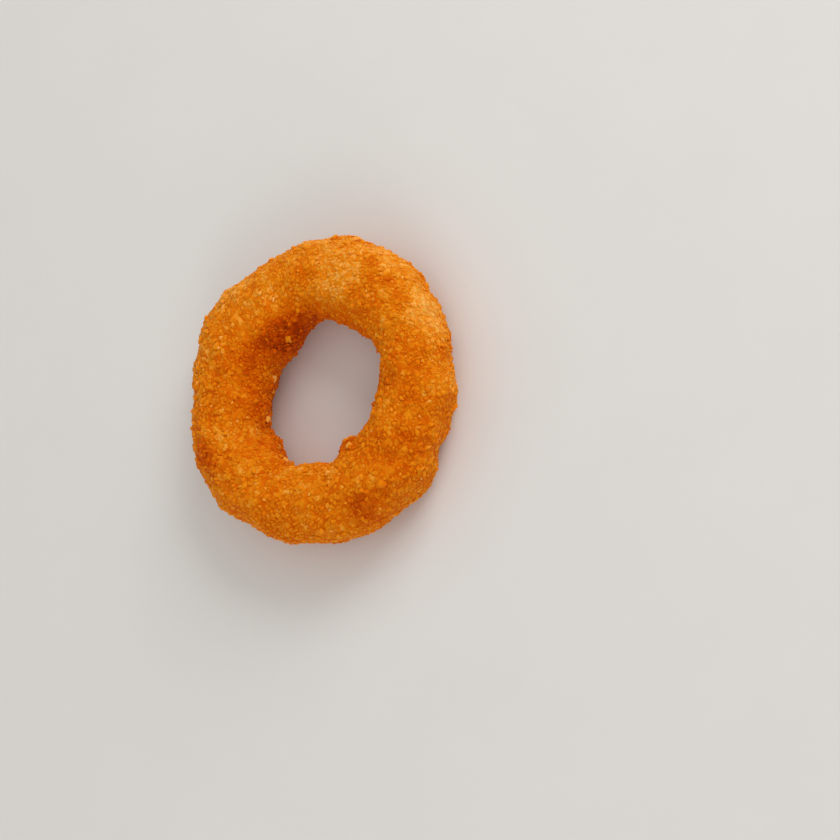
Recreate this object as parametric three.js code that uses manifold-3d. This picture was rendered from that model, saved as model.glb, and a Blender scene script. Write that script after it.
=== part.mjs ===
// A breaded onion ring, fried golden and lying flat. Millimetres, +Z up.
// The ring rests on z = 0, its longest way along X, and the origin is under the middle of its box.
// It is one solid: an uneven ring of round section, worn flat where it rests, with lumps and knobs
// in its crust, and with the coarsest bread crumbs fused to it.
import * as THREE from 'three';
import { mergeVertices } from 'three/addons/utils/BufferGeometryUtils.js';
import Module from 'manifold-3d';

const wasm = await Module();
wasm.setup();

// The ring, as it was sliced and coated.
const RING_RADIUS = 25.5; // from the ring's centre to the middle of the limb
const LIMB_HALF_WIDTH = 9.2; // across the limb, in plan
const LIMB_HALF_HEIGHT = 8.9;
const SECTION_POWER = 2.2; // 2 gives the limb an ellipse as its section, more a squarer one
const REST_DEPTH = 0.6; // how much of the round underside is worn flat

// Unevenness round the ring: the number of lobes, their height, and the turn of one crest in degrees.
const RING_LOBES = [[1, 0.45, 160], [2, 1.28, 1], [5, 0.25, 12], [6, 0.26, 23]];
const WIDTH_LOBES = [
  [1, 0.82, 76], [2, 0.5, 62], [3, 0.24, 1], [4, 0.45, -19], [5, 0.37, -1], [6, 0.15, 1],
];
const HOLE_LOBES = [[3, 0.27, 22], [7, 0.31, 24], [10, 0.28, -5], [12, 0.12, -8]]; // inside of the limb alone
const RIM_LOBES = [[7, 0.22, -17], [8, 0.22, -22], [12, 0.25, 10]]; // outside of the limb alone

// Swells and hollows of the skin: turn and lap of the middle in degrees, reach and height.
const SWELLS = [
  [-70, 151, 3, 0.6],
  [-52, 147, 2.6, -1.4],
  [-47, 164, 1.4, -1],
  [-39, 156, 2.4, 0.6],
  [47, 212, 4, -1.1],
  [82, 207, 3, -0.5],
  [123, 214, 3.2, -0.9],
  [147, 200, 3, 1.1],
  [161, 195, 2.2, -1.4],
  [-158, 162, 4, 1.1],
  [-140, 152, 2.2, -0.9],
  [-129.5, 166, 2.6, 1.9],
  [-110, -28, 4.5, 0.5],
  [8, 10, 3, 0.5],
];

// Relief of the crust: lumps of batter, as waves in all directions, and knobs, one to a point of the net.
const LUMP_WAVES = 28;
const LUMP_HEIGHT = 0.32;
const LONGEST_LUMP = 15;
const SHORTEST_LUMP = 5;
const KNOB_HEIGHT = 0.95; // of the tallest, most being far lower

// The coarsest crumbs.
const CRUMB_TRIES = 70; // places tried over the whole skin
const SMALLEST_CRUMB = 1.9; // across
const LARGEST_CRUMB = 3.3;
const CRUMB_SHAPE = [1, 0.85, 0.68]; // length, width and thickness, as shares of the crumb's size
const CRUMB_JAGGEDNESS = 0.16;
const CRUMB_SINK = 0.06; // depth of a crumb's middle under the skin, as a share of its size
const LOWEST_CRUMB_LAP = -36; // degrees from level, on the outside and in the hole
const TURN_STRIDE = 0.7548776662; // these two strides spread any number of crumbs evenly
const LAP_STRIDE = 0.5698402910;

// Places where crumbs gather: turn and lap in degrees, how many, and how far they lie apart.
const CLUMPS = [
  { turn: 236, lap: 158, count: 7, spread: 2.2 }, // juts into the hole
  { turn: 9, lap: 13, count: 4, spread: 1.6 }, // the peak of the outline
  { turn: 94, lap: 180, count: 2, spread: 0.9 },
  { turn: 128, lap: 182, count: 2, spread: 0.9 },
  { turn: 156, lap: 189, count: 2, spread: 0.9 },
  { turn: 167, lap: 178, count: 2, spread: 0.9 },
  { turn: 51, lap: 158, count: 2, spread: 0.7 },
  { turn: 301, lap: 140, count: 3, spread: 0.7 },
];

// The net of the skin.
const TURN_STEPS = 114; // round the ring
const LAP_STEPS = 34; // round the limb

const TAU = 2 * Math.PI;
const { degToRad } = THREE.MathUtils;
const CRUST_COLOUR = new THREE.Color().setRGB(0.79, 0.42, 0.06, THREE.SRGBColorSpace);

/** A number from 0 to 1 that looks random and depends only on the whole number given. */
function draw(count) {
  const wave = Math.sin(count * 12.9898 + 78.233) * 43758.5453;
  return wave - Math.floor(wave);
}

/** The same from -1 to 1. */
function swing(count) {
  return 2 * draw(count) - 1;
}

/** Sum of the lobes at a turn: each is height * cos(count * (turn - crest)). */
function lobes(list, turn) {
  return list.reduce(
    (sum, [count, height, crest]) => sum + height * Math.cos(count * (turn - degToRad(crest))), 0);
}

/** The waves of the lumps: directions drawn, lengths from the longest to the shortest in even ratios. */
function lumpWaves() {
  const waves = [];
  for (let i = 0; i < LUMP_WAVES; i += 1) {
    const length = LONGEST_LUMP * (SHORTEST_LUMP / LONGEST_LUMP) ** (i / (LUMP_WAVES - 1));
    const rise = swing(3 * i);
    const level = Math.sqrt(1 - rise * rise);
    const heading = TAU * draw(3 * i + 1);
    waves.push({
      direction: new THREE.Vector3(level * Math.cos(heading), level * Math.sin(heading), rise)
        .multiplyScalar(TAU / length),
      phase: TAU * draw(3 * i + 2),
      height: LUMP_HEIGHT * Math.sqrt((2 * length) / (LUMP_WAVES * LONGEST_LUMP)),
    });
  }
  return waves;
}

const WAVES = lumpWaves();

/** Height of the lumps at a point: the sum of the waves there. */
function lumpHeight(point) {
  return WAVES.reduce(
    (sum, wave) => sum + wave.height * Math.sin(wave.direction.dot(point) + wave.phase), 0);
}

/** cos or sin for a superellipse: the sign kept, the size raised to 2 / power. */
function squared(value) {
  return Math.sign(value) * Math.abs(value) ** (2 / SECTION_POWER);
}

/** Distance from the ring's axis to the limb's plain section at a lap. */
function reachOut(lap) {
  return RING_RADIUS + LIMB_HALF_WIDTH * Math.cos(lap);
}

/** Height of the swells at a place: each is height * exp(-(chord along the skin / reach)^2). */
function swellHeight(turn, lap) {
  return SWELLS.reduce((sum, [middleTurn, middleLap, reach, height]) => {
    const along = 2 * reachOut(lap) * Math.sin((turn - degToRad(middleTurn)) / 2);
    const across = 2 * LIMB_HALF_WIDTH * Math.sin((lap - degToRad(middleLap)) / 2);
    return sum + height * Math.exp(-(along * along + across * across) / (reach * reach));
  }, 0);
}

/**
 * A place on the skin, sunk by a depth under the lumps. turn goes round the ring from +X, and lap
 * round the limb, from its outside over its top. The way out is the way the section leans.
 */
function skinPoint(turn, lap, depth) {
  const halfWidth = LIMB_HALF_WIDTH + lobes(WIDTH_LOBES, turn);
  const radius = RING_RADIUS + lobes(RING_LOBES, turn) + halfWidth * squared(Math.cos(lap))
    + (lobes(HOLE_LOBES, turn) * (1 - Math.cos(lap)) + lobes(RIM_LOBES, turn) * (1 + Math.cos(lap))) / 2;
  const up = LIMB_HALF_HEIGHT * squared(Math.sin(lap));
  const leanOut = LIMB_HALF_HEIGHT * Math.cos(lap);
  const leanUp = halfWidth * Math.sin(lap);
  const point = new THREE.Vector3(
    radius * Math.cos(turn), radius * Math.sin(turn), up + LIMB_HALF_HEIGHT - REST_DEPTH);
  const out = new THREE.Vector3(leanOut * Math.cos(turn), leanOut * Math.sin(turn), leanUp).normalize();
  return point.addScaledVector(out, lumpHeight(point) + swellHeight(turn, lap) - depth);
}

/** How far apart two turns are at a lap, as a share of their distance on the outside of the ring. */
function turnShare(lap) {
  return reachOut(lap) / reachOut(0);
}

/**
 * The limb closed on itself both ways, cut off level at z = 0. Its net has TURN_STEPS rings of
 * LAP_STEPS points, and every second ring is shifted by half a step, so that all triangles are alike.
 */
function limbGeometry() {
  const positions = [];
  const faces = [];
  for (let i = 0; i < TURN_STEPS; i += 1) {
    const shift = (i % 2) / 2;
    const nextRing = (((i + 1) % TURN_STEPS) - i) * LAP_STEPS;
    for (let j = 0; j < LAP_STEPS; j += 1) {
      const here = i * LAP_STEPS + j;
      const lap = (TAU * (j + shift)) / LAP_STEPS;
      const knob = KNOB_HEIGHT * turnShare(lap) * draw(50000 + here) ** 3;
      const point = skinPoint((TAU * i) / TURN_STEPS, lap, -knob);
      positions.push(point.x, point.y, Math.max(point.z, 0));
      const above = i * LAP_STEPS + ((j + 1) % LAP_STEPS);
      if (shift) {
        faces.push(here, here + nextRing, above + nextRing, here, above + nextRing, above);
      } else {
        faces.push(here, here + nextRing, above, here + nextRing, above + nextRing, above);
      }
    }
  }
  const geometry = new THREE.BufferGeometry();
  geometry.setAttribute('position', new THREE.Float32BufferAttribute(positions, 3));
  geometry.setIndex(faces);
  return geometry;
}

/** One crumb: a small twenty-sided stone with each corner moved in or out, turned any way. */
function crumbGeometry(turn, lap, seed) {
  const size = SMALLEST_CRUMB + (LARGEST_CRUMB - SMALLEST_CRUMB) * draw(seed) ** 2;
  const stone = new THREE.IcosahedronGeometry(size / 2, 0);
  stone.deleteAttribute('normal');
  stone.deleteAttribute('uv');
  const geometry = mergeVertices(stone);
  const corners = geometry.attributes.position;
  const corner = new THREE.Vector3();
  for (let i = 0; i < corners.count; i += 1) {
    corner.fromBufferAttribute(corners, i).multiplyScalar(1 + CRUMB_JAGGEDNESS * swing(seed + 10 + i));
    corners.setXYZ(i, corner.x, corner.y, corner.z);
  }
  const middle = skinPoint(turn, lap, CRUMB_SINK * size);
  return geometry
    .scale(...CRUMB_SHAPE)
    .rotateX(TAU * draw(seed + 1))
    .rotateY(TAU * draw(seed + 2))
    .rotateZ(TAU * draw(seed + 3))
    .translate(middle.x, middle.y, middle.z);
}

/** Crumbs spread evenly over the skin: a try in the hole is kept as seldom as the skin there is small. */
function spreadCrumbs() {
  const lowest = degToRad(LOWEST_CRUMB_LAP);
  const list = [];
  for (let i = 1; i <= CRUMB_TRIES; i += 1) {
    const turn = TAU * ((i * TURN_STRIDE) % 1);
    const lap = lowest + (Math.PI - 2 * lowest) * ((i * LAP_STRIDE) % 1);
    if (draw(i) < turnShare(lap)) {
      list.push(crumbGeometry(turn, lap, 1000 + 30 * i));
    }
  }
  return list;
}

/** Crumbs gathered at the clumps, each drawn to one side or the other of the clump's middle. */
function clumpedCrumbs() {
  return CLUMPS.flatMap(({ turn, lap, count, spread }, clump) => (
    Array.from({ length: count }, (_, i) => {
      const seed = 9000 + 500 * clump + 30 * i;
      return crumbGeometry(
        degToRad(turn) + (spread / RING_RADIUS) * swing(seed + 4),
        degToRad(lap) + (spread / LIMB_HALF_WIDTH) * swing(seed + 5),
        seed);
    })
  ));
}

/** A closed geometry as a solid that can be joined to others. */
function solidOf(geometry) {
  return new wasm.Manifold(new wasm.Mesh({
    numProp: 3,
    vertProperties: new Float32Array(geometry.attributes.position.array),
    triVerts: new Uint32Array(geometry.index.array),
  }));
}

/** A solid's outside as a geometry. */
function geometryOf(solid) {
  const { vertProperties, triVerts } = solid.getMesh();
  const geometry = new THREE.BufferGeometry();
  geometry.setAttribute('position', new THREE.BufferAttribute(vertProperties, 3));
  geometry.setIndex(new THREE.BufferAttribute(triVerts, 1));
  return geometry;
}

/** The ring with its crumbs fused on, moved so that the origin is under the middle of its box. */
function onionRing() {
  const crumbs = [...spreadCrumbs(), ...clumpedCrumbs()];
  const geometry = geometryOf(
    crumbs.reduce((body, crumb) => body.add(solidOf(crumb)), solidOf(limbGeometry())));
  geometry.computeBoundingBox();
  const middle = geometry.boundingBox.getCenter(new THREE.Vector3());
  const crust = new THREE.MeshStandardMaterial({
    color: CRUST_COLOUR, roughness: 0.62, metalness: 0, flatShading: true });
  const ring = new THREE.Mesh(geometry, crust);
  ring.name = 'onion_ring';
  ring.position.set(-middle.x, -middle.y, 0);
  return ring;
}

const group = new THREE.Group();
group.add(onionRing());

export default group;
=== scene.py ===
# A breaded onion ring, dressed round its solid: the crust, the bread crumbs on it, and a stage.
import itertools
import math

import bmesh
import bpy
import numpy as np
from bpy.props import FloatProperty, FloatVectorProperty, IntProperty, PointerProperty
from mathutils import Matrix, Vector


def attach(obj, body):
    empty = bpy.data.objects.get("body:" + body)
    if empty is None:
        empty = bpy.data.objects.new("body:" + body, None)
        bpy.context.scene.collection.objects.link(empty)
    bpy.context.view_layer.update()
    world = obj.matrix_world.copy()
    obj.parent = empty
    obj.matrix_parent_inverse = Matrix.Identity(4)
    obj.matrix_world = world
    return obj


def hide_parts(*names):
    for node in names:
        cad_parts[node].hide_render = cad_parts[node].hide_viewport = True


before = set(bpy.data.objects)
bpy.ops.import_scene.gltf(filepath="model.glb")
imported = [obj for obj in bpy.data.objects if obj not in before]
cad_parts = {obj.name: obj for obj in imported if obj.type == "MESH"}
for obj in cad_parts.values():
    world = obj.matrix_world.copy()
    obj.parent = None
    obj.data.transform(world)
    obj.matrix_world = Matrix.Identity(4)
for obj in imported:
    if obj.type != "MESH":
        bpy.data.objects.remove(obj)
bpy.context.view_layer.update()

bl_info = {
    "name": "Breaded Onion Ring",
    "version": (1, 0, 0),
    "blender": (4, 5, 0),
    "location": "3D View > Sidebar > Onion Ring",
    "description": "Dresses a fried onion ring in its crust and bread crumbs, and lights it",
    "category": "Add Mesh",
}

# The ring's own form, as its solid has it. Lengths are in metres and angles in degrees. Lobes have a
# count, a height and the place of a crest, and swells have a turn, a lap, a reach and a height.
NODE = "onion_ring"
RING_CENTRE = (-0.00043, -0.001477, 0.0)
RING_RADIUS = 0.0255
LIMB_HALF_WIDTH = 0.0092
LIMB_HALF_HEIGHT = 0.0089
SECTION_POWER = 2.2
REST_DEPTH = 0.0006
RING_LOBES = ((1, 0.00045, 160), (2, 0.00128, 1), (5, 0.00025, 12), (6, 0.00026, 23))
WIDTH_LOBES = (
    (1, 0.00082, 76),
    (2, 0.0005, 62),
    (3, 0.00024, 1),
    (4, 0.00045, -19),
    (5, 0.00037, -1),
    (6, 0.00015, 1),
)
HOLE_LOBES = ((3, 0.00027, 22), (7, 0.00031, 24), (10, 0.00028, -5), (12, 0.00012, -8))
RIM_LOBES = ((7, 0.00022, -17), (8, 0.00022, -22), (12, 0.00025, 10))
SWELLS = (
    (-70, 151, 0.003, 0.0006),
    (-52, 147, 0.0026, -0.0014),
    (-47, 164, 0.0014, -0.001),
    (-39, 156, 0.0024, 0.0006),
    (47, 212, 0.004, -0.0011),
    (82, 207, 0.003, -0.0005),
    (123, 214, 0.0032, -0.0009),
    (147, 200, 0.003, 0.0011),
    (161, 195, 0.0022, -0.0014),
    (-158, 162, 0.004, 0.0011),
    (-140, 152, 0.0022, -0.0009),
    (-129.5, 166, 0.0026, 0.0019),
    (-110, -28, 0.0045, 0.0005),
    (8, 10, 0.003, 0.0005),
)
LUMP_WAVES = 28
LUMP_HEIGHT = 0.00032
LONGEST_LUMP = 0.015
SHORTEST_LUMP = 0.005

# The crust's fine relief. Waves have a longest and a shortest length, a number and a salt, and a pair
# is a least value and how much a draw adds to it.
CELL_STEPS = (1.37, 57.11, 113.53)
SALT_STEP = 17.7
CLOT_SALT = 11
SHARD_SALT = 29
GRIT_SALT = 53
GRAIN_REACH = (0.55, 0.4)
GRAIN_TALLNESS = (0.35, 0.65)
SHARD_LEVEL = (0.3, 0.6)
SHARD_SLANT = 1.4
CREVICE = 0.4
BEND = 0.00022
BEND_WAVES = (0.004, 0.0011, 9)
BEND_SALTS = (300, 370, 440)
BARE_WAVES = (0.016, 0.006, 8, 900)
BARE_CONTRAST = 0.9
WAVES_PEAK = 1.6

# The coarsest crumbs, in the places where the solid has them. A clump of them has a turn, a lap, a
# number, a spread and how pale it is.
CRUMB_TRIES = 70
CRUMB_SIZES = (0.0019, 0.0033)
LOWEST_CRUMB_LAP = -36
TURN_STRIDE = 0.7548776662
LAP_STRIDE = 0.5698402910
SEED_STRIDE = 30
FIRST_SEED = 1000
FIRST_CLUMP_SEED = 9000
CLUMP_SEED_STRIDE = 500
CLUMPS = (
    (236, 158, 7, 0.0022, 0.8),
    (9, 13, 4, 0.0016, 0.3),
    (94, 180, 2, 0.0009, 1.0),
    (128, 182, 2, 0.0009, 0.9),
    (156, 189, 2, 0.0009, 0.9),
    (167, 178, 2, 0.0009, 0.9),
    (51, 158, 2, 0.0007, 1.0),
    (301, 140, 3, 0.0007, 0.7),
)

# The finer crumbs, which only the dressing has.
BREAKS = 9
BREAK_DEPTHS = (0.42, 0.92)
LEAST_FACING = 0.001
CRUMB_PROPORTIONS = ((0.9, 1.35), (0.7, 1.0), (0.5, 0.85))
LOWEST_CRUMB = 0.0004
LEAST_SHARE = 0.6
PALER = 0.15
MOST_VARIED = 0.0012

# How brown the crust is, from 0 for straw to 1 for char. A cloud is its size, strength and seed. The
# inner wall's painted shade, a browner tone in the hole, fades out between two distances from the ring's
# axis.
TONE_PLACES = (0.0, 0.35, 0.6, 0.82, 1.0)
EVEN_BROWNING = 0.51
CLOUDS = ((0.011, 0.35, 3.1), (0.0036, 0.3, 8.4))
# Painted shade: the inner wall round the hole is browner, standing for the shade that falls there.
INNER_PAINTED_SHADE = 0.2
INNER_WALL = (0.0155, 0.0195)

# Spots where the crust is browner or paler, partly its fried tone and partly painted light and shade, such as
# a paler lit rim and a browner hole: turn, lap, radius and how much browner.
TONE_AND_PAINTED_LIGHT_PATCHES = (
    (139, 65, 0.0055, 0.26),
    (-133, 50, 0.0050, 0.16),
    (-150, 48, 0.0045, 0.08),
    (-102, 60, 0.0075, 0.10),
    (-9, 52, 0.0030, 0.18),
    (-20, 60, 0.0022, 0.17),
    (-32, 58, 0.0030, 0.12),
    (-66, 54, 0.0036, 0.08),
    (88, 118, 0.0050, 0.05),
    (56, 144, 0.0080, 0.16),
    (28, 152, 0.0070, 0.02),
    (105, 162, 0.0060, -0.05),
    (6, 80, 0.0095, -0.20),
    (40, 76, 0.0090, -0.06),
    (147, 70, 0.0045, 0.06),
    (122, 106, 0.0070, 0.05),
    (-79, 57, 0.0070, 0.05),
    (-41, 24, 0.0085, -0.22),
    (-68, 28, 0.0070, -0.08),
    (-12, 22, 0.0085, -0.11),
    (25, 36, 0.0080, -0.09),
    (60, 48, 0.0070, -0.10),
    (165, 46, 0.0065, 0.09),
    (-127, 36, 0.0090, 0.07),
    (-112, 14, 0.0050, 0.09),
    (-80, 8, 0.0060, 0.10),
    (-48, 8, 0.0070, -0.05),
)
PATCH_CORE = 0.25

# Painted highlight: the outer side toward the light is paler, standing in for a grazing sheen: the middle of
# its turns, and the laps where it ends and is full.
PAINTED_SHEEN_TURN = 42
PAINTED_SHEEN_LAPS = (-50, -15, 36, 66)
PAINTED_SHEEN_STRENGTH = 0.09

# What each material adds: speckles as a cloud, the height where the relief's painted shade in the pits and
# painted highlight on the tops leave the colour as it is, and a fine bump. Grains whose shade is past the
# first of two values are paler.
CRUST_SPECKLES = (0.0008, 0.12, 2.2)
CRUST_EVEN_HEIGHT = 0.45
CRUST_BUMP = 0.0001
PALE_GRAINS = (0.5, 1.0)
EVEN_GRAIN = 0.2
GRAIN_PALENESS = 0.33
GRAIN_LIMIT = 1.4
CRUMB_SPECKLES = (0.0006, 0.1, 4.9)
CRUMB_EVEN_HEIGHT = 0.5
# Painted shade low on each crumb and painted highlight on its top.
CRUMB_PAINTED_SHADE = 0.24
CRUMB_BUMP = 0.00006
BUMP_SIZE = 0.0004
SHEEN_SIZE = 0.0021
LEAST_ROUGHNESS = 0.42
ROUGHNESS_SPREAD = 0.3

# The picture: its size in pixels, where the ring's middle falls in it, and how it is turned.
PICTURE_PIXELS = 840
RING_PIXEL = (324.06, 391.92)
PIXELS_PER_METRE = 4300
CAMERA_LIFT = 62
CAMERA_ROLL = 70.8
LENS = 100
SENSOR = 36
CLIP_START = 0.01

# The stage: ways are from the ring, and the floor is flat out to a circle and then curves up.
KEY_WAY = (0.85, -0.2, 0.49)
FILL_WAY = (-0.7, -0.5, 0.5)
KEY_DISTANCE = 0.9
KEY_SIZE = 0.5
FLOOR_REACH = 1.7
FLOOR_STEPS = 121
FLOOR_FLAT = 0.8
FLOOR_CURVE = 0.9
FLOOR_CLOUD = 0.02
FLOOR_SHADE = 0.97
SKY_COLOUR = (1.0, 0.98, 0.95, 1.0)

TAU = 2 * math.pi
UV_NAME = "OFBake"
UV_REACH = 0.46


def draw(count):
    """Numbers from 0 to 1 that look random: the fraction of 43758.5453 sin(12.9898 count + 78.233)."""
    wave = np.sin(np.asarray(count, float) * 12.9898 + 78.233) * 43758.5453
    return wave - np.floor(wave)


def lobes(shapes, turn):
    """The sum of height cos(count (turn - crest)) over the lobes."""
    return sum(height * np.cos(count * (turn - math.radians(crest))) for count, height, crest in shapes)


def lump_waves():
    """Directions, phases and heights of the waves: lengths fall from longest to shortest in even ratios."""
    index = np.arange(LUMP_WAVES)
    length = LONGEST_LUMP * (SHORTEST_LUMP / LONGEST_LUMP) ** (index / (LUMP_WAVES - 1))
    rise = 2 * draw(3 * index) - 1
    level = np.sqrt(1 - rise**2)
    heading = TAU * draw(3 * index + 1)
    direction = np.stack([level * np.cos(heading), level * np.sin(heading), rise], 1)
    height = LUMP_HEIGHT * np.sqrt(2 * length / (LUMP_WAVES * LONGEST_LUMP))
    return direction * TAU / length[:, None], TAU * draw(3 * index + 2), height


LUMPS = lump_waves()


def squared(value):
    """cos or sin for a superellipse: the sign kept, the size raised to 2 / power."""
    return np.sign(value) * np.abs(value) ** (2 / SECTION_POWER)


def reach_out(lap):
    """Distance from the ring's axis to the limb's plain section at a lap."""
    return RING_RADIUS + LIMB_HALF_WIDTH * np.cos(lap)


def swell_height(turn, lap):
    """The sum over the swells of height exp(-(chord along the skin / reach)^2)."""
    height = np.zeros(np.shape(turn))
    for middle_turn, middle_lap, reach, tallness in SWELLS:
        along = 2 * reach_out(lap) * np.sin((turn - math.radians(middle_turn)) / 2)
        across = 2 * LIMB_HALF_WIDTH * np.sin((lap - math.radians(middle_lap)) / 2)
        height += tallness * np.exp(-(along**2 + across**2) / reach**2)
    return height


def skin(turn, lap):
    """Points of the skin with its lumps, and the ways out of it.

    The limb's section is a superellipse round a circle with lobes, the inside and the outside having
    lobes of their own; the swells and the lumps, a sum of sines of direction . point + phase, lift it
    along the way that the section leans.
    """
    half_width = LIMB_HALF_WIDTH + lobes(WIDTH_LOBES, turn)
    radius = RING_RADIUS + lobes(RING_LOBES, turn) + half_width * squared(np.cos(lap))
    radius += lobes(HOLE_LOBES, turn) * (1 - np.cos(lap)) / 2 + lobes(RIM_LOBES, turn) * (1 + np.cos(lap)) / 2
    up = LIMB_HALF_HEIGHT * squared(np.sin(lap)) + LIMB_HALF_HEIGHT - REST_DEPTH
    points = np.stack([radius * np.cos(turn), radius * np.sin(turn), up], -1)
    lean_out = LIMB_HALF_HEIGHT * np.cos(lap)
    lean_up = half_width * np.sin(lap)
    out = np.stack([lean_out * np.cos(turn), lean_out * np.sin(turn), lean_up], -1)
    out /= np.linalg.norm(out, axis=-1, keepdims=True)
    direction, phase, height = LUMPS
    lift = np.sin(points @ direction.T + phase) @ height + swell_height(turn, lap)
    return points + out * lift[..., None], out


def unlike(cells, salt):
    """A number from 0 to 1 for each cell of a lattice, from its three whole numbers and a salt."""
    return draw(cells @ np.array(CELL_STEPS) + SALT_STEP * salt)


def between(span, cells, salt):
    """For each cell the span's least value, and its second value times a number from 0 to 1."""
    least, more = span
    return least + more * unlike(cells, salt)


def grains(points, spacing, salt):
    """Height from 0 to 1 of rounded grains packed at a spacing, and the shade from 0 to 1 of each grain.

    Each cell of a cubic lattice has a grain at a drawn place in it. A point's height is the tallest,
    over the 27 cells round it, of tallness * sqrt(1 - (distance / reach)^2), where that is real.
    """
    home = np.floor(points / spacing)
    tallest = np.zeros(len(points))
    shade = np.full(len(points), 0.5)
    for step in itertools.product((-1, 0, 1), repeat=3):
        cell = home + step
        middle = (cell + np.stack([unlike(cell, salt + axis) for axis in range(3)], 1)) * spacing
        reach = spacing * between(GRAIN_REACH, cell, salt + 3)
        tallness = between(GRAIN_TALLNESS, cell, salt + 4)
        near = 1 - ((points - middle) ** 2).sum(1) / reach**2
        height = tallness * np.sqrt(np.maximum(near, 0))
        shade = np.where(height > tallest, unlike(cell, salt + 5), shade)
        tallest = np.maximum(tallest, height)
    return tallest, shade


def shards(points, spacing, salt):
    """Height from 0 to 1 of broken crumbs packed at a spacing, and the shade from 0 to 1 of each crumb.

    Each cell of a cubic lattice has a crumb's middle at a drawn place in it, and a point belongs to the
    nearest middle. The crumb's flat top is level + slant . (point - middle) / spacing, and it falls into
    a crevice where the second nearest middle is almost as near.
    """
    home = np.floor(points / spacing)
    nearest = np.full(len(points), np.inf)
    second, top, shade = nearest.copy(), np.zeros(len(points)), np.zeros(len(points))
    for step in itertools.product((-1, 0, 1), repeat=3):
        cell = home + step
        middle = (cell + np.stack([unlike(cell, salt + axis) for axis in range(3)], 1)) * spacing
        away = (points - middle) / spacing
        distance = np.linalg.norm(away, axis=1)
        slant = np.stack([unlike(cell, salt + 4 + axis) for axis in range(3)], 1) - 0.5
        closer = distance < nearest
        level = between(SHARD_LEVEL, cell, salt + 3)
        top = np.where(closer, level + SHARD_SLANT * (away * slant).sum(1), top)
        shade = np.where(closer, unlike(cell, salt + 7), shade)
        second = np.where(closer, nearest, np.minimum(second, distance))
        nearest = np.minimum(nearest, distance)
    brink = np.clip((second - nearest) / CREVICE, 0, 1)
    return np.clip(top, 0, 1) * brink * (2 - brink), shade


def smooth_waves(points, longest, shortest, count, salt):
    """A smooth field from about -1 to 1: the mean of sines of waves in drawn directions."""
    index = salt + 5 * np.arange(count)
    length = longest * (shortest / longest) ** (np.arange(count) / (count - 1))
    rise = 2 * draw(index) - 1
    heading = TAU * draw(index + 1)
    level = np.sqrt(1 - rise**2)
    direction = np.stack([level * np.cos(heading), level * np.sin(heading), rise], 1) / length[:, None]
    return np.sin(TAU * (points @ direction.T + draw(index + 2))).sum(1) * math.sqrt(2 / count) / WAVES_PEAK


def bareness(points):
    """How bare of crumbs the batter is at points, from 0 to 1: a smooth field cut off at both ends."""
    return np.clip(0.5 + BARE_CONTRAST * smooth_waves(points, *BARE_WAVES), 0, 1)


def crust_height(points, relief):
    """Height of the crust over the skin, that as a share from 0 in its pits to 1, and its grains' shades.

    Clots, crumbs and grit of three spacings are stacked, the finer two fading where batter shows.
    The lattice is bent by smooth waves, so that no grain is round.
    """
    bend = np.stack([smooth_waves(points, *BEND_WAVES, salt) for salt in BEND_SALTS], 1)
    bent = points + BEND * bend
    covered = 1 - relief.bareness * bareness(points)
    clots, _ = grains(bent, relief.clot_size, CLOT_SALT)
    crumbs, shade = shards(bent, relief.grain_size, SHARD_SALT)
    grit, _ = grains(bent, relief.grit_size, GRIT_SALT)
    height = relief.clot_height * clots + covered * (relief.grain_height * crumbs + relief.grit_height * grit)
    return height, height / (relief.clot_height + relief.grain_height + relief.grit_height), shade


def crust_points(turn, lap, relief):
    """Points on the crust, the ways out there, the crust's height as a share and its grains' shades."""
    points, out = skin(turn, lap)
    height, share, shade = crust_height(points, relief)
    return points + out * (height - relief.sink)[:, None], out, share, shade


def on_floor(points):
    """The points moved to where the ring stands, with none under the floor."""
    points = points + RING_CENTRE
    points[..., 2] = np.maximum(points[..., 2], 0)
    return points


def closed_net(turns, laps):
    """The faces of a net closed both ways, and each face corner's place on a flat map of it."""
    i, j = (grid.ravel() for grid in np.meshgrid(np.arange(turns), np.arange(laps), indexing="ij"))
    right, above = (i + 1) % turns, (j + 1) % laps
    faces = np.stack([i * laps + j, right * laps + j, right * laps + above, i * laps + above], 1)
    u = np.stack([i, i + 1, i + 1, i], 1) / turns
    v = np.stack([j, j, j + 1, j + 1], 1) / laps
    return faces, np.stack([u, v], -1).reshape(-1, 2)


def add_mesh(name, points, faces, uv, smooth, shares):
    """A mesh object at the origin from arrays, with a UV map and one number per point for each share."""
    mesh = bpy.data.meshes.new(name)
    sides = faces.shape[1]
    mesh.vertices.add(len(points))
    mesh.vertices.foreach_set("co", points.astype(np.float32).ravel())
    mesh.loops.add(faces.size)
    mesh.loops.foreach_set("vertex_index", faces.astype(np.int32).ravel())
    mesh.polygons.add(len(faces))
    mesh.polygons.foreach_set("loop_start", np.arange(0, faces.size, sides, dtype=np.int32))
    mesh.polygons.foreach_set("use_smooth", np.full(len(faces), smooth))
    layer = mesh.uv_layers.new(name=UV_NAME)
    layer.uv.foreach_set("vector", uv.astype(np.float32).ravel())
    for share, values in shares.items():
        attribute = mesh.attributes.new(share, "FLOAT", "POINT")
        attribute.data.foreach_set("value", values.astype(np.float32))
    mesh.update(calc_edges=True)
    mesh.validate()
    piece = bpy.data.objects.new(name, mesh)
    bpy.context.scene.collection.objects.link(piece)
    return piece


def settle(piece, material):
    """The piece takes its material, rides on the ring's body and stands for the ring's solid."""
    piece.data.materials.append(material)
    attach(piece, "root")
    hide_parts(NODE)


def template(divisions):
    """Points and triangles of a ball of radius 1: 12 points after one division, 42 after two."""
    ball = bmesh.new()
    bmesh.ops.create_icosphere(ball, subdivisions=divisions, radius=1)
    points = np.array([corner.co[:] for corner in ball.verts])
    faces = np.array([[corner.index for corner in face.verts] for face in ball.faces])
    ball.free()
    return points, faces


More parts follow.
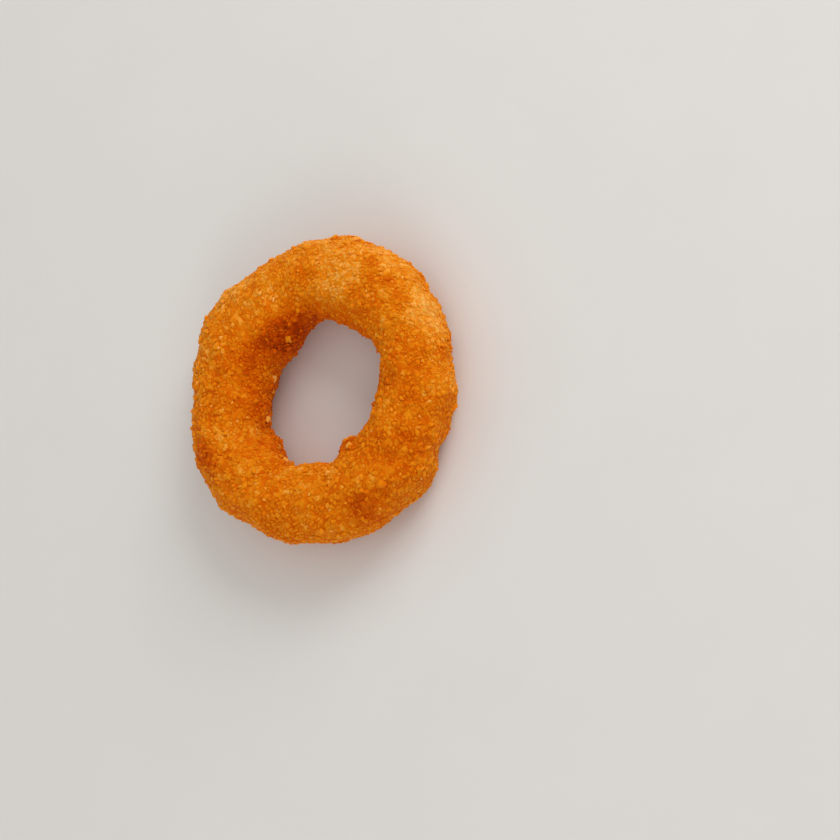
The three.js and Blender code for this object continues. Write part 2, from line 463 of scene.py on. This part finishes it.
def about(axis, angle):
    """Rotation matrices about one axis, 0 to 2, by each angle."""
    first, second = (axis + 1) % 3, (axis + 2) % 3
    matrices = np.zeros((len(angle), 3, 3))
    matrices[:, axis, axis] = 1
    matrices[:, first, first] = matrices[:, second, second] = np.cos(angle)
    matrices[:, second, first] = np.sin(angle)
    matrices[:, first, second] = -np.sin(angle)
    return matrices


def upright(out):
    """For each way out, a matrix whose third column is that way and whose others lie on the skin."""
    side = np.cross(out, np.where(np.abs(out[:, 2:]) < 0.9, (0.0, 0.0, 1.0), (1.0, 0.0, 0.0)))
    side /= np.linalg.norm(side, axis=1, keepdims=True)
    return np.stack([side, np.cross(out, side), out], 2)


def chipped(rng, count, ball, roughness):
    """Crumb shapes of radius about 1: a ball cut by flat breaks.

    Along a direction d the radius is the least of 1 and depth / (d . n) over the breaks whose normal n
    faces d; then each corner is moved in or out by its own share.
    """
    normals = rng.normal(size=(count, BREAKS, 3))
    normals /= np.linalg.norm(normals, axis=2, keepdims=True)
    depth = rng.uniform(*BREAK_DEPTHS, (count, BREAKS, 1))
    radius = np.minimum(1, (depth / np.maximum(normals @ ball.T, LEAST_FACING)).min(1))
    radius *= 1 + roughness * rng.uniform(-1, 1, radius.shape)
    return radius[..., None] * ball


def painted_sheen(turn, lap):
    """How far turns and laps are on the side with the painted highlight: (1 + cos(turn - middle)) / 2 within
    its laps.
    """
    lap = (lap + math.pi) % TAU - math.pi
    within = np.interp(lap, np.radians(PAINTED_SHEEN_LAPS), (0, 1, 1, 0))
    return within * (1 + np.cos(turn - math.radians(PAINTED_SHEEN_TURN))) / 2


def crumb_cloud(name, rng, turn, lap, sizes, divisions, look, pale=0):
    """One piece of many crumbs, each at its turn and lap, sunk in the crust and flattened at the floor.

    How much paler a crumb is than the crust is drawn so that most differ little and few much, and pale
    is added to it.
    """
    ball, triangles = template(divisions)
    count = len(turn)
    middle, out, *_ = crust_points(turn, lap, look.relief)
    stone = chipped(rng, count, ball, look.crumbs.jaggedness)
    stone *= rng.uniform(*np.transpose(CRUMB_PROPORTIONS), (count, 3))[:, None, :]
    lean = about(2, rng.uniform(0, TAU, count)) @ about(0, rng.normal(0, look.crumbs.lean, count))
    stone = np.einsum("nij,nvj->nvi", upright(out) @ lean, stone) * (sizes / 2)[:, None, None]
    sink = sizes * rng.uniform(look.crumbs.least_sink, look.crumbs.most_sink, count)
    rise = np.einsum("nvi,ni->nv", stone, out) / sizes[:, None]
    points = on_floor(stone + (middle - out * sink[:, None])[:, None, :])
    faces = (triangles + len(ball) * np.arange(count)[:, None, None]).reshape(-1, 3)
    varied = np.minimum(sizes / MOST_VARIED, MOST_VARIED / sizes)
    paler = np.repeat(np.minimum(1, pale + varied * rng.exponential(PALER, count)), len(ball))
    # The side share is the painted highlight on the outer side toward the light; the relief share is the
    # crumb's height, which the material turns into painted shade low down and painted highlight on top.
    piece = add_mesh(name, points.reshape(-1, 3), faces, crumb_map(ball, triangles, count), False,
                     {"paler": paler, "relief": np.clip(rise.ravel() + 0.5, 0, 1),
                      "side": np.repeat(painted_sheen(turn, lap), len(ball))})
    settle(piece, crumb_finish(look.colours))


def own_crumbs():
    """Turns, laps, sizes and paleness of the crumbs that the solid has: an even spread, and the clumps."""
    index = np.arange(1, CRUMB_TRIES + 1)
    lowest = math.radians(LOWEST_CRUMB_LAP)
    turn = TAU * (index * TURN_STRIDE % 1)
    lap = lowest + (math.pi - 2 * lowest) * (index * LAP_STRIDE % 1)
    kept = draw(index) < turn_share(lap)
    turn, lap, seed = turn[kept], lap[kept], FIRST_SEED + SEED_STRIDE * index[kept]
    pale = np.zeros(len(turn))
    for clump, (clump_turn, clump_lap, count, spread, clump_pale) in enumerate(CLUMPS):
        seeds = FIRST_CLUMP_SEED + CLUMP_SEED_STRIDE * clump + SEED_STRIDE * np.arange(count)
        turn = np.append(turn, math.radians(clump_turn) + spread / RING_RADIUS * (2 * draw(seeds + 4) - 1))
        lap = np.append(lap, math.radians(clump_lap) + spread / LIMB_HALF_WIDTH * (2 * draw(seeds + 5) - 1))
        seed = np.append(seed, seeds)
        pale = np.append(pale, np.full(count, clump_pale))
    least, most = CRUMB_SIZES
    return turn, lap, least + (most - least) * draw(seed) ** 2, pale


def turn_share(lap):
    """How far apart two turns are at a lap, as a share of their distance on the outside."""
    return reach_out(lap) / reach_out(0)


def scattered(rng, tries, thinning):
    """Turns and laps spread evenly over the skin, fewer where batter is bare, none on the underside."""
    index = np.arange(1, tries + 1)
    turn = TAU * ((index * TURN_STRIDE + rng.uniform()) % 1)
    lap = TAU * ((index * LAP_STRIDE + rng.uniform()) % 1)
    points, _ = skin(turn, lap)
    kept = rng.uniform(size=tries) < turn_share(lap) * (1 - thinning * bareness(points))
    kept &= points[:, 2] > LOWEST_CRUMB
    return turn[kept], lap[kept]


def crumb_map(ball, triangles, count):
    """A flat map with a square for each crumb, its corners round the middle by angle from the pole."""
    across = math.ceil(math.sqrt(count))
    angle = np.arccos(np.clip(ball[:, 2], -1, 1)) / math.pi
    flat = ball[:, :2] / np.maximum(np.linalg.norm(ball[:, :2], axis=1, keepdims=True), 1e-6)
    disc = 0.5 + UV_REACH * flat * angle[:, None]
    corner = disc[triangles].reshape(1, -1, 2)
    index = np.arange(count)
    square = np.stack([index % across, index // across], 1)[:, None, :]
    return ((square + corner) / across).reshape(-1, 2)


class Number:
    """A node's socket that can be used in sums: each sign adds the Math node that works it out."""

    def __init__(self, shader, socket):
        self.shader = shader
        self.socket = socket

    def maths(self, operation, *others):
        values = dict(enumerate((self, *others)))
        return self.shader.node("ShaderNodeMath", {"operation": operation}, values)

    def __add__(self, other):
        return self.maths("ADD", other)

    def __sub__(self, other):
        return self.maths("SUBTRACT", other)

    def __rsub__(self, other):
        return (self * -1) + other

    def __mul__(self, other):
        return self.maths("MULTIPLY", other)

    __radd__ = __add__
    __rmul__ = __mul__

    def ramp(self, low, high):
        """0 below low, 1 above high and a smooth rise between them."""
        values = {"Value": self, "From Min": low, "From Max": high}
        return self.shader.node("ShaderNodeMapRange", {"interpolation_type": "SMOOTHSTEP"}, values)


class Shader:
    """A material's nodes, added one call at a time."""

    def __init__(self, name):
        self.material = bpy.data.materials.new(name)
        self.material.use_nodes = True
        self.tree = self.material.node_tree
        self.tree.nodes.clear()

    def node(self, kind, settings=None, values=None, output=0):
        """Adds a node, sets what it is first and then its sockets, and gives back one of its outputs."""
        made = self.tree.nodes.new(kind)
        for name, setting in (settings or {}).items():
            if name == "stops":
                self.set_stops(made.color_ramp.elements, setting)
            else:
                setattr(made, name, setting)
        for name, value in (values or {}).items():
            if isinstance(value, Number):
                self.tree.links.new(value.socket, made.inputs[name])
            else:
                made.inputs[name].default_value = value
        return Number(self, made.outputs[output])

    def set_stops(self, elements, stops):
        """The ramp's colours, the two that it starts with being its first and last."""
        (elements[0].position, elements[0].color), *between, (elements[1].position, elements[1].color) = stops
        for place, colour in between:
            elements.new(place).color = colour

    def places(self):
        return self.node("ShaderNodeTexCoord", output="Object")

    def share(self, name):
        """One of the numbers that the mesh holds for each point."""
        return self.node("ShaderNodeAttribute", {"attribute_name": name}, output="Fac")

    def noise(self, places, size, detail=2.0, roughness=0.5, seed=0.0):
        """Cloudy noise from about 0.3 to 0.7, its clouds about size across, moved on by a seed."""
        steps = (seed, 2 * seed, -seed)
        moved = self.node("ShaderNodeVectorMath", {"operation": "ADD"}, {0: places, 1: steps})
        values = {"Vector": moved, "Scale": 1 / size, "Detail": detail, "Roughness": roughness}
        return self.node("ShaderNodeTexNoise", None, values)

    def cloud(self, places, size, strength, seed):
        """The same noise about 0, times a strength."""
        return (self.noise(places, size, seed=seed) - 0.5) * strength

    def mix(self, share, first, second):
        """The first colour where share is 0 and the second where it is 1."""
        settings = {"data_type": "RGBA", "clamp_factor": True}
        return self.node("ShaderNodeMix", settings, {0: share, 6: first, 7: second}, output=2)

    def spot(self, places, middle, radius):
        """1 at a point, falling smoothly to 0 at a radius."""
        ends = {0: places, 1: middle}
        away = self.node("ShaderNodeVectorMath", {"operation": "DISTANCE"}, ends, output="Value")
        return 1 - away.ramp(PATCH_CORE * radius, radius)

    def off_axis(self, places):
        """Distance from the upright axis."""
        flat = self.node("ShaderNodeVectorMath", {"operation": "MULTIPLY"}, {0: places, 1: (1.0, 1.0, 0.0)})
        return self.node("ShaderNodeVectorMath", {"operation": "LENGTH"}, {0: flat}, output="Value")

    def finish(self, values):
        """The finished material: one Principled shader with these sockets."""
        surface = self.node("ShaderNodeBsdfPrincipled", None, values)
        output = self.tree.nodes.new("ShaderNodeOutputMaterial")
        self.tree.links.new(surface.socket, output.inputs["Surface"])
        return self.material


def on_skin(turn, lap):
    """The point of the skin at a turn and lap in degrees, where the ring stands."""
    points, _ = skin(np.radians([turn]), np.radians([lap]))
    return tuple(on_floor(points)[0])


def browning(shader, places):
    """How brown the crust is: clouds of two sizes, painted shade on the inner wall, a painted highlight on
    the outer side toward the light, and spots of fried tone and painted light and shade.
    """
    toast = EVEN_BROWNING
    for cloud in CLOUDS:
        toast = toast + shader.cloud(places, *cloud)
    # Painted shade: the inner wall is browner, for the shade in the hole.
    toast = toast + (1 - shader.off_axis(places).ramp(*INNER_WALL)) * INNER_PAINTED_SHADE
    # Painted highlight: the outer side toward the light is paler.
    toast = toast - shader.share("side") * PAINTED_SHEEN_STRENGTH
    # Spots of fried tone and of painted light and shade.
    for turn, lap, radius, more in TONE_AND_PAINTED_LIGHT_PATCHES:
        toast = toast + shader.spot(places, on_skin(turn, lap), radius) * more
    return toast


def fried_colour(shader, toast, colours):
    """The colour of frying, from straw through golden and amber to russet and char."""
    tones = (colours.straw, colours.golden, colours.amber, colours.russet, colours.char)
    stops = [(place, (*tone, 1.0)) for place, tone in zip(TONE_PLACES, tones)]
    return shader.node("ShaderNodeValToRGB", {"stops": stops}, {"Fac": toast}, output="Color")


def fried_surface(shader, places, toast, colours, bump_height):
    """A dull greasy crust: light sinks in a little, and the sheen is warm and uneven."""
    grit = shader.noise(places, BUMP_SIZE, detail=3.0, seed=5.7)
    bump = shader.node("ShaderNodeBump", None, {"Height": grit, "Strength": 1.0, "Distance": bump_height})
    sheen = shader.noise(places, SHEEN_SIZE, seed=1.3)
    return shader.finish({
        "Base Color": fried_colour(shader, toast, colours),
        "Roughness": LEAST_ROUGHNESS + sheen * ROUGHNESS_SPREAD,
        "Normal": bump,
        "Specular IOR Level": 0.1,
        "Specular Tint": (*colours.sheen, 1.0),
        "Subsurface Weight": 0.35,
        "Subsurface Radius": (1.0, 0.4, 0.1),
        "Subsurface Scale": 0.0006,
    })


def crust_finish(colours):
    """Painted shade in the pits of the relief and a painted highlight on its tops, each grain with a shade of
    its own.

    A grain adds (even - how pale it is) (limit - browning) paleness, so it does less on brown crust.
    """
    shader = Shader("fried_crust")
    places = shader.places()
    toast = browning(shader, places) + shader.cloud(places, *CRUST_SPECKLES)
    # Painted shade in the pits and painted highlight on the tops of the relief.
    toast = toast + (CRUST_EVEN_HEIGHT - shader.share("relief")) * colours.painted_relief_shade
    pale = shader.share("shade").ramp(*PALE_GRAINS)
    toast = toast + (EVEN_GRAIN - pale) * (GRAIN_LIMIT - toast) * GRAIN_PALENESS
    return fried_surface(shader, places, toast, colours, CRUST_BUMP)


def crumb_finish(colours):
    """The crumbs' material, made once: painted shade low down and a painted highlight on top, each crumb with
    a shade of its own.
    """
    made = bpy.data.materials.get("fried_crumbs")
    if made:
        return made
    shader = Shader("fried_crumbs")
    places = shader.places()
    toast = browning(shader, places) + shader.cloud(places, *CRUMB_SPECKLES)
    # Painted shade low on each crumb and painted highlight on its top.
    toast = toast + (CRUMB_EVEN_HEIGHT - shader.share("relief")) * CRUMB_PAINTED_SHADE
    toast = toast - shader.share("paler") * colours.crumb_spread
    return fried_surface(shader, places, toast, colours, CRUMB_BUMP)


def floor_finish(colour):
    """Pale matt card with a faint unevenness."""
    shader = Shader("pale_floor")
    places = shader.places()
    uneven = shader.noise(places, FLOOR_CLOUD, detail=3.0)
    darker = tuple(FLOOR_SHADE * value for value in colour)
    tint = shader.mix(uneven, (*colour, 1.0), (*darker, 1.0))
    return shader.finish({"Base Color": tint, "Roughness": 0.75 + uneven * 0.1, "Specular IOR Level": 0.2})


def metres(name, description, default):
    """A property in metres."""
    return FloatProperty(name=name, description=description, default=default, min=0, unit="LENGTH",
                         precision=5)


def watts(name, description, default):
    """A property that is a lamp's power."""
    return FloatProperty(name=name, description=description, default=default, min=0, unit="POWER")


def tone(name, description, default):
    """A property that is a colour."""
    return FloatVectorProperty(name=name, description=description, default=default, size=3, min=0, max=1,
                               subtype="COLOR")


def factor(name, description, default):
    """A property from 0 to 1."""
    return FloatProperty(name=name, description=description, default=default, min=0, max=1, subtype="FACTOR")


class CrustRelief(bpy.types.PropertyGroup):
    """The fine relief of the crust."""

    turns: IntProperty(name="Turns", description="Points of the net round the ring", default=540, min=3)
    laps: IntProperty(name="Laps", description="Points of the net round the limb", default=180, min=3)
    clot_size: metres("Clot size", "Spacing of the clots of batter", 0.0028)
    clot_height: metres("Clot height", "Height of the clots of batter", 0.00036)
    grain_size: metres("Grain size", "Spacing of the crumbs that are sunk in batter", 0.0012)
    grain_height: metres("Grain height", "Height of the crumbs that are sunk in batter", 0.00042)
    grit_size: metres("Grit size", "Spacing of the grit", 0.0007)
    grit_height: metres("Grit height", "Height of the grit", 0.0001)
    sink: metres("Sink", "Depth of the relief's lowest pits under the solid's skin", 0.00022)
    bareness: factor("Bareness", "How much of the fine relief is lost where the batter is bare", 0.2)


class CrumbCoat(bpy.types.PropertyGroup):
    """The bread crumbs that stand out of the crust."""

    large_tries: IntProperty(name="Large crumbs", description="Places tried", default=3600, min=0)
    medium_tries: IntProperty(name="Medium crumbs", description="Places tried", default=14500, min=0)
    fine_tries: IntProperty(name="Fine crumbs", description="Places tried", default=16500, min=0)
    finest_tries: IntProperty(name="Finest crumbs", description="Places tried", default=9000, min=0)
    large_size: metres("Large size", "Size of the largest of the large crumbs", 0.0021)
    medium_size: metres("Medium size", "Size of the largest medium crumbs", 0.0017)
    fine_size: metres("Fine size", "Size of the largest fine crumbs", 0.0010)
    finest_size: metres("Finest size", "Size of the largest of the finest crumbs", 0.0006)
    thinning: factor("Thinning", "How much fewer the crumbs are where the batter is bare", 0.25)
    jaggedness: factor("Jaggedness", "How far a crumb's corners stray from its flat breaks", 0.12)
    lean: FloatProperty(name="Lean", description="How far crumbs lean from lying flat", default=0.45,
                        subtype="ANGLE")
    least_sink: factor("Least sink", "Depth of a proud crumb's middle, as a share of its size", 0.0)
    most_sink: factor("Most sink", "Depth of a sunk crumb's middle, as a share of its size", 0.26)


class FryingColours(bpy.types.PropertyGroup):
    """The colours that frying goes through, palest first."""

    straw: tone("Straw", "The palest crumbs", (0.95, 0.455, 0.092))
    golden: tone("Golden", "Pale crust", (0.82, 0.256, 0.0055))
    amber: tone("Amber", "Most of the crust", (0.69, 0.133, 0.0009))
    russet: tone("Russet", "Pits, and crust that is well fried", (0.50, 0.058, 0.0007))
    char: tone("Char", "The darkest spots", (0.24, 0.024, 0.0008))
    sheen: tone("Sheen", "What the oil reflects", (1.0, 0.58, 0.08))
    # Painted shade in the pits and painted highlight on the tops of the relief.
    painted_relief_shade: factor("Crevices", "How much browner the pits are than the tops", 0.22)
    crumb_spread: factor("Crumb spread", "How much the crumbs differ from each other", 0.5)


class StageLight(bpy.types.PropertyGroup):
    """The floor and the light."""

    floor: tone("Floor", "Colour of the floor", (0.74, 0.73, 0.71))
    key_power: watts("Key power", "Power of the soft light", 4.35)
    fill_power: watts("Fill power", "Power of the light opposite", 1.65)
    sky: FloatProperty(name="Sky", description="Brightness of the light from all round", default=0.64, min=0)


class OnionRing(bpy.types.PropertyGroup):
    """All that can be changed about the ring and its stage."""

    relief: PointerProperty(type=CrustRelief)
    crumbs: PointerProperty(type=CrumbCoat)
    colours: PointerProperty(type=FryingColours)
    stage: PointerProperty(type=StageLight)


class ONIONRING_OT_crust(bpy.types.Operator):
    """Makes the crust: one closed surface round the limb and the ring"""

    bl_idname = "onion_ring.crust"
    bl_label = "Make Crust"

    def execute(self, context):
        look = context.scene.onion_ring
        turns, laps = look.relief.turns, look.relief.laps
        turn, lap = np.meshgrid(TAU * np.arange(turns) / turns, TAU * np.arange(laps) / laps, indexing="ij")
        turn, lap = turn.ravel(), lap.ravel()
        points, _, height, shade = crust_points(turn, lap, look.relief)
        faces, uv = closed_net(turns, laps)
        # The side share is the painted highlight on the outer side toward the light; the relief share becomes
        # painted shade in the pits and painted highlight on the tops.
        shares = {"relief": height, "shade": shade, "side": painted_sheen(turn, lap)}
        piece = add_mesh("crust", on_floor(points), faces, uv, True, shares)
        settle(piece, crust_finish(look.colours))
        return {"FINISHED"}


class ONIONRING_OT_coarse_crumbs(bpy.types.Operator):
    """Makes the coarsest crumbs, where the solid has them"""

    bl_idname = "onion_ring.coarse_crumbs"
    bl_label = "Make Coarse Crumbs"

    def execute(self, context):
        turn, lap, sizes, pale = own_crumbs()
        rng = np.random.default_rng(11)
        crumb_cloud("crumbs_coarse", rng, turn, lap, sizes, 2, context.scene.onion_ring, pale)
        return {"FINISHED"}


class ONIONRING_OT_finer_crumbs(bpy.types.Operator):
    """Makes the large, medium, fine and finest crumbs all over the crust"""

    bl_idname = "onion_ring.finer_crumbs"
    bl_label = "Make Finer Crumbs"

    def execute(self, context):
        look = context.scene.onion_ring
        grades = (("large", 2, look.crumbs.large_tries, look.crumbs.large_size),
                  ("medium", 1, look.crumbs.medium_tries, look.crumbs.medium_size),
                  ("fine", 1, look.crumbs.fine_tries, look.crumbs.fine_size),
                  ("finest", 1, look.crumbs.finest_tries, look.crumbs.finest_size))
        for seed, (grade, divisions, tries, largest) in enumerate(grades, 21):
            rng = np.random.default_rng(seed)
            turn, lap = scattered(rng, tries, look.crumbs.thinning)
            sizes = largest * (LEAST_SHARE + (1 - LEAST_SHARE) * rng.uniform(size=len(turn)) ** 2)
            crumb_cloud(f"crumbs_{grade}", rng, turn, lap, sizes, divisions, look)
        return {"FINISHED"}


class ONIONRING_OT_stage(bpy.types.Operator):
    """Makes the floor, the lights and the camera"""

    bl_idname = "onion_ring.stage"
    bl_label = "Make Stage"

    def execute(self, context):
        scene = context.scene
        look = scene.onion_ring.stage
        scene.view_settings.view_transform = "Standard"
        make_floor(look.floor)
        middle = Vector(RING_CENTRE) + Vector((0, 0, LIMB_HALF_HEIGHT - REST_DEPTH))
        make_light("key", middle, KEY_WAY, KEY_DISTANCE, KEY_SIZE, look.key_power)
        make_light("fill", middle, FILL_WAY, KEY_DISTANCE, KEY_SIZE, look.fill_power)
        scene.world = bpy.data.worlds.new("sky")
        scene.world.use_nodes = True
        sky = scene.world.node_tree.nodes["Background"].inputs
        sky["Color"].default_value = SKY_COLOUR
        sky["Strength"].default_value = look.sky
        scene.camera = make_camera(middle)
        return {"FINISHED"}


def make_floor(colour):
    """A square floor that curves up far away: a way d past the flat its height is c - sqrt(c^2 - d^2)."""
    line = np.linspace(-FLOOR_REACH, FLOOR_REACH, FLOOR_STEPS)
    x, y = (grid.ravel() for grid in np.meshgrid(line, line, indexing="ij"))
    past = np.clip(np.hypot(x, y) - FLOOR_FLAT, 0, FLOOR_CURVE)
    points = np.stack([x, y, FLOOR_CURVE - np.sqrt(FLOOR_CURVE**2 - past**2)], 1)
    i, j = (grid.ravel() for grid in np.meshgrid(np.arange(FLOOR_STEPS - 1), np.arange(FLOOR_STEPS - 1)))
    corner = i * FLOOR_STEPS + j
    faces = np.stack([corner, corner + FLOOR_STEPS, corner + FLOOR_STEPS + 1, corner + 1], 1)
    uv = points[faces.ravel(), :2] / (2 * FLOOR_REACH) + 0.5
    floor = add_mesh("floor", points, faces, uv, True, {})
    floor.data.materials.append(floor_finish(colour))


def make_light(name, target, way, distance, size, power):
    """A square area light at a distance from the target, facing it."""
    light = bpy.data.lights.new(name, "AREA")
    light.size = size
    light.energy = power
    lamp = bpy.data.objects.new(name, light)
    way = Vector(way).normalized()
    turned = way.to_track_quat("Z", "Y").to_matrix().to_4x4()
    lamp.matrix_world = Matrix.Translation(target + distance * way) @ turned
    bpy.context.scene.collection.objects.link(lamp)


def make_camera(middle):
    """A camera lifted above the near side and rolled, with the ring's middle at its pixel.

    The picture's width at the ring is pixels / pixels per metre, which with the lens gives the distance.
    """
    lift, roll = math.radians(CAMERA_LIFT), math.radians(CAMERA_ROLL)
    back = Vector((0, -math.cos(lift), math.sin(lift)))
    level = Vector((1, 0, 0))
    upward = Vector((0, math.sin(lift), math.cos(lift)))
    right = math.cos(roll) * level - math.sin(roll) * upward
    top = math.sin(roll) * level + math.cos(roll) * upward
    across, down = RING_PIXEL
    target = middle + right * ((PICTURE_PIXELS / 2 - across) / PIXELS_PER_METRE)
    target += top * ((down - PICTURE_PIXELS / 2) / PIXELS_PER_METRE)
    distance = (PICTURE_PIXELS / PIXELS_PER_METRE) * LENS / SENSOR
    data = bpy.data.cameras.new("camera")
    data.lens = LENS
    data.sensor_width = SENSOR
    data.clip_start = CLIP_START
    camera = bpy.data.objects.new("camera", data)
    turned = Matrix((right, top, back)).transposed().to_4x4()
    camera.matrix_world = Matrix.Translation(target + distance * back) @ turned
    bpy.context.scene.collection.objects.link(camera)
    return camera


class ONIONRING_PT_panel(bpy.types.Panel):
    """Lists the steps and what can be changed"""

    bl_label = "Onion Ring"
    bl_idname = "ONIONRING_PT_panel"
    bl_space_type = "VIEW_3D"
    bl_region_type = "UI"
    bl_category = "Onion Ring"

    def draw(self, context):
        for operator in OPERATORS:
            self.layout.operator(operator.bl_idname)
        for group in (CrustRelief, CrumbCoat, FryingColours, StageLight):
            box = self.layout.box()
            box.label(text=group.__doc__)
            settings = getattr(context.scene.onion_ring, GROUP_NAMES[group])
            for name in group.__annotations__:
                box.prop(settings, name)


OPERATORS = (ONIONRING_OT_crust, ONIONRING_OT_coarse_crumbs, ONIONRING_OT_finer_crumbs, ONIONRING_OT_stage)
GROUP_NAMES = {CrustRelief: "relief", CrumbCoat: "crumbs", FryingColours: "colours", StageLight: "stage"}
CLASSES = (*GROUP_NAMES, OnionRing, *OPERATORS, ONIONRING_PT_panel)


def register():
    for made in CLASSES:
        bpy.utils.register_class(made)
    bpy.types.Scene.onion_ring = PointerProperty(type=OnionRing)


def unregister():
    del bpy.types.Scene.onion_ring
    for made in reversed(CLASSES):
        bpy.utils.unregister_class(made)


def main():
    """Registers the classes and makes every piece."""
    register()
    bpy.ops.onion_ring.crust()
    bpy.ops.onion_ring.coarse_crumbs()
    bpy.ops.onion_ring.finer_crumbs()
    bpy.ops.onion_ring.stage()


if __name__ == "__main__":
    main()
